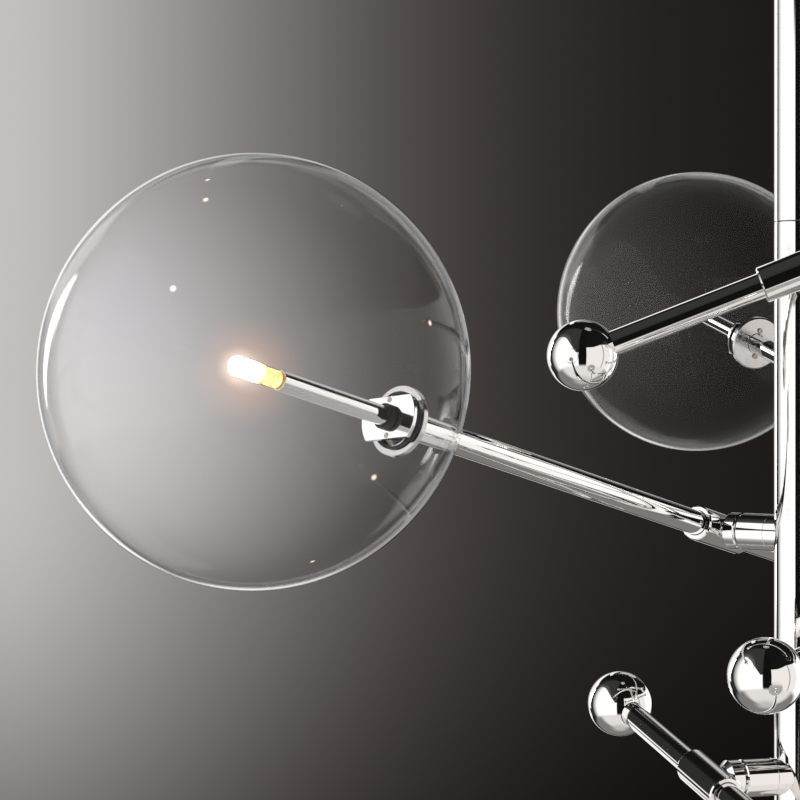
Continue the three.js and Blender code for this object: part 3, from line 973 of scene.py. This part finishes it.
def bulb_foot(inset, foot_inset, turns):
    """Corners from the bulb's floor to its shoulder, on its outside or further in."""
    base = BULB_BASE_RADIUS - foot_inset
    radii = (base, base, BULB_NECK_RADIUS - foot_inset, BULB_RADIUS - inset)
    corners = [
        (radius, level + past, rounding)
        for radius, level, (past, rounding) in zip(radii, BULB_LEVELS, turns)
    ]
    return [(0.0, corners[0][1], 0.0), *corners]


def bulb_shell(name, inset, foot_inset, turns):
    """The envelope's outside or inside, with its dome."""
    radius = BULB_RADIUS - inset
    dome = BULB_TIP - BULB_RADIUS
    points = rounded([*bulb_foot(inset, foot_inset, turns), (radius, dome, 0.0)])
    points += arc(dome, radius, 0, 90, DOME_STEPS)[1:-1]
    points.append((0.0, BULB_TIP - inset))
    return lathe(name, points, SMALL_SIDES, "X")


def bulb_mesh():
    """Glass envelope: base, neck and domed body."""
    outside = bulb_shell("bulb_outside", 0.0, 0.0, OUTSIDE_TURNS)
    inside = bulb_shell("bulb_inside", BULB_WALL, BULB_WALL + BULB_THICKER, INSIDE_TURNS)
    inside.flip_normals()
    return joined("bulb_envelope", [outside, inside])


def bulb_core_mesh():
    """What glows inside the envelope."""
    inset = BULB_WALL + CORE_MARGIN
    end = BULB_TIP - inset
    corners = bulb_foot(inset, inset + BULB_THICKER, CORE_TURNS)
    corners += [(BULB_RADIUS - inset, end, CORE_TIP_EDGE), (0.0, end, 0.0)]
    return lathe("bulb_core", rounded(corners), SMALL_SIDES, "X")


tee = head_mesh()
pipe = arm_tube_mesh()
ball = ball_mesh()
flange = flange_mesh()
gasket = gasket_mesh()
globe = globe_mesh()
strap_plate = strap_mesh()
screw = screw_mesh("strap_screw")
screw_moves = [Matrix.Translation((0.0, 0.0, side * SCREW_PLACE * MM)) for side in (-1, 1)]
screws = joined("strap_screws", [screw, screw], screw_moves)
for mesh in (strap_plate, screws):
    mesh.transform(Matrix.Rotation(math.radians(STRAP_TURN), 4, "X"))
lamp_pipe = lamp_tube_mesh()
lamp_collar = lamp_collar_mesh()
bulb = bulb_mesh()
core = bulb_core_mesh()
dark_core = core.copy()
offsets = sorted({offset for azimuth, tilt, drop, offset in ARMS.values()})
barrels = {offset: barrel_mesh(f"barrel_{int(offset)}", offset) for offset in offsets}

for number, (azimuth, tilt, drop, offset) in ARMS.items():
    level = Matrix.Translation((0.0, 0.0, (SEAM_LEVEL - drop) * MM))
    level = level @ Matrix.Rotation(math.radians(azimuth), 4, "Z")
    tilted = level @ Matrix.Translation((0.0, -offset * MM, 0.0))
    tilted = tilted @ Matrix.Rotation(-math.radians(tilt), 4, "Y")

    # A globe's mesh is moved itself, so that no two globes are wavy in the same places
    globe_here = globe.copy()
    globe_here.transform(tilted)

    if number == UNLIT_ARM:
        core_here, core_finish = dark_core, bulb_frost
    else:
        core_here, core_finish = core, bulb_glow

    arm = f"arm_{number}"
    for name, mesh, material, body, slot, node, matrix in (
        ("barrel", barrels[offset], nickel, "column", "polished_nickel", "knuckle_barrel", level),
        ("tee", tee, nickel, arm, "polished_nickel", "knuckle_head", tilted),
        ("pipe", pipe, nickel, arm, "polished_nickel", "arm_tube", tilted),
        ("ball", ball, nickel, arm, "polished_nickel", "counterweight_ball", tilted),
        ("flange", flange, satin_nickel, arm, "polished_nickel", "globe_flange", tilted),
        ("gasket", gasket, black_rubber, arm, "black_rubber", "flange_gasket", tilted),
        ("globe", globe_here, clear_glass, arm, "clear_glass", "glass_globe", None),
        ("strap", strap_plate, nickel, arm, "polished_nickel", "globe_strap", tilted),
        ("strap_screws", screws, brass, arm, "zinc_steel", None, tilted),
        ("lamp_pipe", lamp_pipe, nickel, arm, "polished_nickel", "lamp_tube", tilted),
        ("lamp_collar", lamp_collar, black_rubber, arm, "black_rubber", None, tilted),
        ("bulb", bulb, bulb_glass, arm, "bulb_glass", "capsule_bulb", tilted),
        ("bulb_core", core_here, core_finish, arm, "bulb_glass", None, tilted),
    ):
        nodes = [f"{node}_{number}"] if node else ()
        show(f"{name}_{number}", mesh, material, body, slot, nodes, matrix)

# CAD nodes that stay shown
for node, material in (
    ("ceiling_bracket", zinc),
    ("hanging_nipple", zinc),
    ("swivel_spigot", zinc),
    ("transformer", white_plastic),
    ("terminal_block", white_plastic),
):
    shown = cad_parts[node]
    shown.data.materials.clear()
    shown.data.materials.append(material)

# Floor: its level and radius in metres, and the shares of its radius between which it fades
FLOOR_LEVEL = -1.75
FLOOR_RADIUS = 4.0
FLOOR_SIDES = 96
FLOOR_FADE_START = 0.45
FLOOR_FADE_END = 0.98
FLOOR_COLOURS = (grey(0.78), grey(0.75))
FLOOR_CLOUD = 3.0
FLOOR_ROUGHNESS = 0.8


def floor_material():
    """Pale and dull, with faint clouds, and fading out towards its edge."""
    material, nodes, shader = new_material("floor")
    place = nodes.add("ShaderNodeNewGeometry").outputs["Position"]
    parts = nodes.parts(place)
    away = nodes.distance(parts["X"], parts["Y"])
    fade_start = FLOOR_FADE_START * FLOOR_RADIUS
    fade_end = FLOOR_FADE_END * FLOOR_RADIUS
    nodes.fill(shader, {
        "Base Color": nodes.mix(nodes.noise(place, FLOOR_CLOUD), *FLOOR_COLOURS),
        "Roughness": FLOOR_ROUGHNESS,
        "Alpha": nodes.below(away, fade_start, fade_end),
    })
    return material


floor_maker = bmesh.new()
bmesh.ops.create_circle(floor_maker, cap_ends=True, segments=FLOOR_SIDES, radius=FLOOR_RADIUS)
floor_mesh = bpy.data.meshes.new("floor")
floor_maker.to_mesh(floor_mesh)
floor_maker.free()
floor_mesh.materials.append(floor_material())
floor = bpy.data.objects.new("floor", floor_mesh)
floor.location = (0.0, 0.0, FLOOR_LEVEL)
bpy.context.scene.collection.objects.link(floor)
floor.visible_glossy = False


# The studio is given by direction, in degrees: compass side from the backdrop, and rise above the
# horizon. A span is from, to and softness, and a patch is a span of side and a span of rise. A
# light is a grey, or sides from and to with the greys there.

# The backdrop's light falls off to the right from the left edge of the main view, and downwards
WALL_EDGE = -9.76
WALL_FALL = 6.16
WALL_FALLS = 4.0
WALL_POWER = 1.5
WALL_LIGHT = 0.525
WALL_DARK = 0.010
WALL_FOOT = (-14.0, -1.5)
WALL_FOOT_LIGHT = 0.18

# The wall's colour turns browner as it gets darker, up to this light
WALL_TONE = warm(1.02)
WALL_BROWN = (1.05, 0.885, 0.80, 1.0)
WALL_BROWN_END = 0.2

# White that the wall fades to at its left, and where
WALL_WHITE = grey(1.15)
WALL_WHITE_SIDES = (-30.0, -10.76)

# Patches that the wall covers, as the camera sees it, through glass and in reflections
WALL_SEEN = ((-46.0, 48.0, 8.0), (-16.0, 36.0, 4.0))
WALL_THROUGH_GLASS = ((-42.0, 46.0, 8.0), (-25.0, 36.0, 4.0))
WALL_REFLECTED = ((-46.0, 37.0, 1.0), (-12.0, 13.0, 1.0))
WALL_REFLECTED_START = (-30.0, -26.0)

# The pale surround of the wall, a little greyer below and much greyer above
PALE = grey(0.92)
PALE_BELOW = grey(0.7)
PALE_BELOW_RISES = (-16.0, -10.0)
PALE_ABOVE = grey(0.35)
PALE_ABOVE_RISES = (32.0, 60.0)

# Where the wall darkens through glass, towards its left and its top: from, to and how much
DIM_LEFT = (-26.0, -11.0, 0.5, 0.0)
DIM_TOP = (10.0, 20.0, 0.0, 0.7)

# Painted light in the clear glass, seen only where the world shows through it, as compass side,
# rise,
# reach and colour: a painted glow from the bright wall, with a bluish part above it, one from the
# wall's dark half, and a painted halo of three spots round the lit bulb
PAINTED_GLOW_SPOTS = (
    (-6.1, 0.2, 6.9, (0.222, 0.211, 0.212, 1.0)),
    (-7.6, 2.2, 4.5, (0.0, 0.01, 0.038, 1.0)),
    (4.5, 2.2, 5.0, (0.03, 0.028, 0.027, 1.0)),
    (-3.75, 0.7, 1.6, (0.24, 0.10, 0.04, 1.0)),
    (-3.75, 0.7, 0.7, (0.23, 0.23, 0.22, 1.0)),
    (-4.02, 0.82, 0.6, (0.60, 0.48, 0.36, 1.0)),
)

# Small warm painted glints in the glass, where the world shows through it, standing for
# reflections of the bulb, as compass side and rise
PAINTED_GLINTS = ((-5.09, 6.79), (-4.97, 5.55), (-5.69, 2.85), (1.51, 2.1), (-0.33, -2.17), (-1.67, -5.47))
PAINTED_GLINT_REACH = 0.12
PAINTED_GLINT_COLOUR = (1.5, 1.15, 0.9, 1.0)

# Ceiling, and the paler part of it
CEILING = grey(0.008)
CEILING_PALE = grey(0.04)
CEILING_PALE_SPAN = (-165.0, -50.0, 14.0)

# Ground: its tones behind the object, in front of it and straight below, and where they meet
GROUND_BEHIND = warm(0.23)
GROUND_FRONT = warm(0.88)
GROUND_TURNS = (76.0, 106.0)
GROUND_BELOW = warm(0.6)
GROUND_BELOW_RISES = (-86.0, -62.0)
GROUND_RISES = (-38.0, -28.0)

# Left flat: its arched top is highest at its middle, and light spreads over the ceiling above it
LEFT_FLAT = (-162.0, -61.0, 1.5)
LEFT_ARCH = (-155.0, -35.0)
LEFT_TOP = 46.0
LEFT_TOP_FALL = -37.0
LEFT_TOP_SOFT = 0.8
LEFT_LIGHT_SIDES = (-86.0, -60.0)
LEFT_LIGHTS = (grey(1.28), grey(0.12))
LEFT_GLOW = (-135.0, -55.0, 10.0)
LEFT_GLOW_HEIGHT = 14.0
LEFT_GLOW_LIGHT = grey(0.12)

# The dark gap beside it
LEFT_GAP = (-64.0, -44.0, 1.0)
LEFT_GAP_TOP = (30.0, 44.0)
LEFT_GAP_LIGHT = grey(0.03)

# Right flat: its top climbs to the right and then falls, and it has a joint near its middle
RIGHT_FLAT = (38.0, 172.0, 0.8)
RIGHT_TOP_CLIMB = (45.0, 115.0, 17.0, 28.0)
RIGHT_TOP_FALL = (120.0, 150.0, 28.0, 24.0)
RIGHT_TOP_SOFT = 0.7
RIGHT_LIGHT_SIDES = (78.0, 92.0)
RIGHT_LIGHTS = (grey(1.25), warm(1.0))
RIGHT_JOINT = (111.0, 115.0, 1.2)
RIGHT_JOINT_LIGHT = grey(0.4)

# Patches with their light behind the backdrop: past its top, a panel over it, and past its foot
BEHIND_LIGHTS = (
    ((-45.0, 37.0, 1.0), (-12.0, 29.0, 1.5), (-14.0, 8.0, 1.1, 0.14)),
    ((-3.0, 15.0, 2.0), (27.0, 42.0, 2.0), 0.35),
    ((-33.0, 37.0, 3.0), (-21.0, 0.0, 1.5), (-4.0, 14.0, 1.1, 0.2)),
)

# A slanting strip over the backdrop: its lean, its side at the horizon, its spans and its light
STRIP_LEAN = 0.64
STRIP_SIDE = 14.3
STRIP = ((-3.4, 3.2, 0.8), (16.0, 43.0, 2.0))
STRIP_LIGHT = grey(1.1)

# The tall light at the backdrop's left, widest at the middle of its height
TALL_LEAN = 0.25
TALL_SIDE = -42.3
TALL_BULGE = (-6.0, 22.0)
TALL_HALF_WIDTH = 4.4
TALL_TAPER = -4.0
TALL_SOFT = 0.5
TALL_RISES = (-5.0, 21.0, 1.0)
TALL_LIGHT = grey(10.0)

# The gap that the camera looks through: where it ends at its left and at its right, in degrees
# from its middle
GAP_LEFT = (16.0, 17.5)
GAP_RIGHT = (8.0, 9.0)
GAP_LIGHT = grey(0.006)
HALF_TURN = 180.0

# Inside a globe, reflections show little of what is behind it, but for these patches with their
# light: at its left, over it at its left and right, below it and at its right
INSIDE_DARK = (
    ((-76.0, -8.0, 3.0), (-42.0, 9.0, 4.0)),
    ((-27.0, 6.0, 3.0), (9.0, 46.0, 4.0)),
)
INSIDE_DARK_LIGHT = grey(0.03)
INSIDE_LIGHTS = (
    ((-21.0, -11.0, 1.5), (-16.0, 14.0, 4.0), 1.15),
    ((-20.0, 3.0, 3.0), (10.0, 16.0, 1.5), (-12.0, 3.0, 0.9, 0.3)),
    ((6.0, 42.0, 3.0), (16.0, 42.0, 3.0), 0.6),
    ((14.0, 100.0, 6.0), (-76.0, -26.0, 5.0), 0.6),
    ((4.0, 24.0, 2.0), (-22.0, 22.0, 3.0), 0.4),
)

# Depth that a ray has passed once it has been bent, mirrored or scattered
FIRST_DEPTH = 0.5


def backdrop_light(nodes, side, rise):
    """The grey wall behind the object: light at the left, dark at the right and below."""
    across = nodes.slope(side, WALL_EDGE, WALL_EDGE + WALL_FALLS * WALL_FALL, 0.0, WALL_FALLS)
    drop = nodes.math("POWER", across, WALL_POWER)
    fall = nodes.math("EXPONENT", nodes.times(drop, -1.0))
    light = nodes.math("MULTIPLY_ADD", fall, WALL_LIGHT, WALL_DARK)
    light = nodes.times(light, nodes.ramp(rise, *WALL_FOOT, WALL_FOOT_LIGHT, 1.0))
    tone = nodes.fade(light, 0.0, WALL_BROWN_END, WALL_BROWN, WALL_TONE)
    return nodes.mix(light, BLACK, tone)


def painted_glow_and_glints(nodes, side, rise):
    """The painted glow and painted glints that show where the world is seen through clear glass.
    """
    total = BLACK
    painted_glints = tuple((*place, PAINTED_GLINT_REACH, PAINTED_GLINT_COLOUR) for place in PAINTED_GLINTS)
    for place, height, reach, light in PAINTED_GLOW_SPOTS + painted_glints:
        across = nodes.math("SUBTRACT", side, place)
        upward = nodes.math("SUBTRACT", rise, height)
        spot = nodes.fade(nodes.distance(across, upward), 0.0, reach, light, BLACK)
        total = nodes.mix(1.0, total, spot, "ADD")
    return total


def lit(nodes, side, rise, colour, patches):
    """A colour with patches of light over it."""
    for side_span, rise_span, light in patches:
        if isinstance(light, tuple):
            start, end, first, last = light
            shade = nodes.fade(side, start, end, grey(first), grey(last))
        else:
            shade = grey(light)
        colour = nodes.mix(nodes.patch(side, rise, side_span, rise_span), colour, shade)
    return colour


def left_flat(nodes, side, rise, studio):
    """The studio with its left flat, and the glow and the gap beside it."""
    arch = nodes.square(nodes.slope(side, *LEFT_ARCH, -1.0, 1.0))
    top = nodes.math("MULTIPLY_ADD", arch, LEFT_TOP_FALL, LEFT_TOP)
    over = nodes.math("SUBTRACT", rise, top)
    glow_height = nodes.below(over, 0.0, LEFT_GLOW_HEIGHT)
    glow_above = nodes.times(nodes.window(side, *LEFT_GLOW), glow_height)
    studio = nodes.mix(glow_above, studio, LEFT_GLOW_LIGHT)
    gap = nodes.times(nodes.window(side, *LEFT_GAP), nodes.below(rise, *LEFT_GAP_TOP))
    studio = nodes.mix(gap, studio, LEFT_GAP_LIGHT)
    under_top = nodes.below(over, -LEFT_TOP_SOFT, LEFT_TOP_SOFT)
    flat = nodes.times(nodes.window(side, *LEFT_FLAT), under_top)
    flat_light = nodes.mix(nodes.slope(side, *LEFT_LIGHT_SIDES), *LEFT_LIGHTS)
    return nodes.mix(flat, studio, flat_light)


def right_flat(nodes, side, rise, studio):
    """The studio with its right flat."""
    climb = nodes.slope(side, *RIGHT_TOP_CLIMB)
    top = nodes.math("MINIMUM", climb, nodes.slope(side, *RIGHT_TOP_FALL))
    over = nodes.math("SUBTRACT", rise, top)
    under_top = nodes.below(over, -RIGHT_TOP_SOFT, RIGHT_TOP_SOFT)
    flat = nodes.times(nodes.window(side, *RIGHT_FLAT), under_top)
    flat_light = nodes.fade(side, *RIGHT_LIGHT_SIDES, *RIGHT_LIGHTS)
    flat_light = nodes.mix(nodes.window(side, *RIGHT_JOINT), flat_light, RIGHT_JOINT_LIGHT)
    return nodes.mix(flat, studio, flat_light)


def tall_light(nodes, side, rise, studio):
    """The studio with the tall light."""
    offset = nodes.math("SUBTRACT", side, TALL_SIDE)
    slant = nodes.math("MULTIPLY_ADD", rise, TALL_LEAN, offset)
    bulge = nodes.square(nodes.slope(rise, *TALL_BULGE, -1.0, 1.0))
    half_width = nodes.math("MULTIPLY_ADD", bulge, TALL_TAPER, TALL_HALF_WIDTH)
    beyond = nodes.math("SUBTRACT", nodes.math("ABSOLUTE", slant), half_width)
    inside = nodes.below(beyond, -TALL_SOFT, TALL_SOFT)
    return nodes.mix(nodes.times(inside, nodes.window(rise, *TALL_RISES)), studio, TALL_LIGHT)


def flats(nodes, side, rise):
    """What only reflections show: white flats, the gap for the camera, and a dark ceiling."""
    turned = nodes.math("ABSOLUTE", side)
    ground = nodes.fade(turned, *GROUND_TURNS, GROUND_BEHIND, GROUND_FRONT)
    ground = nodes.fade(rise, *GROUND_BELOW_RISES, GROUND_BELOW, ground)

    studio = nodes.mix(nodes.window(side, *CEILING_PALE_SPAN), CEILING, CEILING_PALE)
    studio = left_flat(nodes, side, rise, studio)
    studio = right_flat(nodes, side, rise, studio)
    studio = lit(nodes, side, rise, studio, BEHIND_LIGHTS)
    slant = nodes.math("MULTIPLY_ADD", rise, STRIP_LEAN, nodes.math("SUBTRACT", side, STRIP_SIDE))
    studio = nodes.mix(nodes.patch(slant, rise, *STRIP), studio, STRIP_LIGHT)
    studio = tall_light(nodes, side, rise, studio)

    front = nodes.math("SUBTRACT", HALF_TURN, turned)
    at_right = nodes.math("GREATER_THAN", side, 0.0)
    gap = nodes.mix(at_right, nodes.below(front, *GAP_LEFT), nodes.below(front, *GAP_RIGHT))
    studio = nodes.mix(gap, studio, GAP_LIGHT)
    return nodes.fade(rise, *GROUND_RISES, ground, studio)


def through_glass(nodes, side, rise, pale):
    """What shows through a globe: the backdrop, darker past its edges, and the painted glow and
    glints on it.
    """
    colour = backdrop_light(nodes, side, rise)
    colour = nodes.mix(nodes.ramp(side, *DIM_LEFT), colour, BLACK)
    colour = nodes.mix(nodes.ramp(rise, *DIM_TOP), colour, BLACK)
    colour = nodes.mix(nodes.patch(side, rise, *WALL_THROUGH_GLASS), pale, colour)
    return nodes.mix(1.0, colour, painted_glow_and_glints(nodes, side, rise), "ADD")


def inside_glass(nodes, side, rise, reflected):
    """What reflections inside a globe show: the flats, with little of the lights behind it."""
    low, high = (nodes.patch(side, rise, *spans) for spans in INSIDE_DARK)
    colour = nodes.mix(nodes.math("MAXIMUM", low, high), reflected, INSIDE_DARK_LIGHT)
    return lit(nodes, side, rise, colour, INSIDE_LIGHTS)


def build_world():
    """A studio by direction, and what of it each kind of ray shows."""
    world = bpy.data.worlds.new("studio")
    bpy.context.scene.world = world
    world.use_nodes = True
    nodes = Nodes(world.node_tree)
    x, y, z = nodes.parts(nodes.add("ShaderNodeTexCoord").outputs["Generated"])
    side = nodes.math("DEGREES", nodes.math("ARCTAN2", x, y))
    rise = nodes.math("DEGREES", nodes.math("ARCSINE", z))

    # The wall, and the white that it fades to at its left
    wall = backdrop_light(nodes, side, rise)
    wall = nodes.fade(side, *WALL_WHITE_SIDES, WALL_WHITE, wall)

    pale = nodes.fade(rise, *PALE_BELOW_RISES, PALE_BELOW, PALE)
    pale = nodes.fade(rise, *PALE_ABOVE_RISES, pale, PALE_ABOVE)
    seen = nodes.mix(nodes.patch(side, rise, *WALL_SEEN), pale, wall)
    on_wall = nodes.patch(side, rise, *WALL_REFLECTED)
    on_wall = nodes.times(on_wall, nodes.ramp(side, *WALL_REFLECTED_START))
    reflected = nodes.mix(on_wall, flats(nodes, side, rise), wall)

    rays = nodes.add("ShaderNodeLightPath").outputs
    refracted = nodes.math("GREATER_THAN", rays["Transmission Depth"], FIRST_DEPTH)
    mirrored = nodes.math("GREATER_THAN", rays["Glossy Depth"], FIRST_DEPTH)
    scattered = nodes.math("GREATER_THAN", rays["Diffuse Depth"], FIRST_DEPTH)
    direct = nodes.mix(refracted, seen, through_glass(nodes, side, rise, pale))
    indirect = nodes.mix(refracted, reflected, inside_glass(nodes, side, rise, reflected))
    colour = nodes.mix(scattered, nodes.mix(mirrored, direct, indirect), seen)
    background = nodes.add("ShaderNodeBackground")
    nodes.fill(background, {"Color": colour, "Strength": 1.0})
    output = nodes.add("ShaderNodeOutputWorld")
    nodes.tree.links.new(background.outputs[0], output.inputs["Surface"])


build_world()

bpy.context.scene.view_settings.view_transform = "Standard"
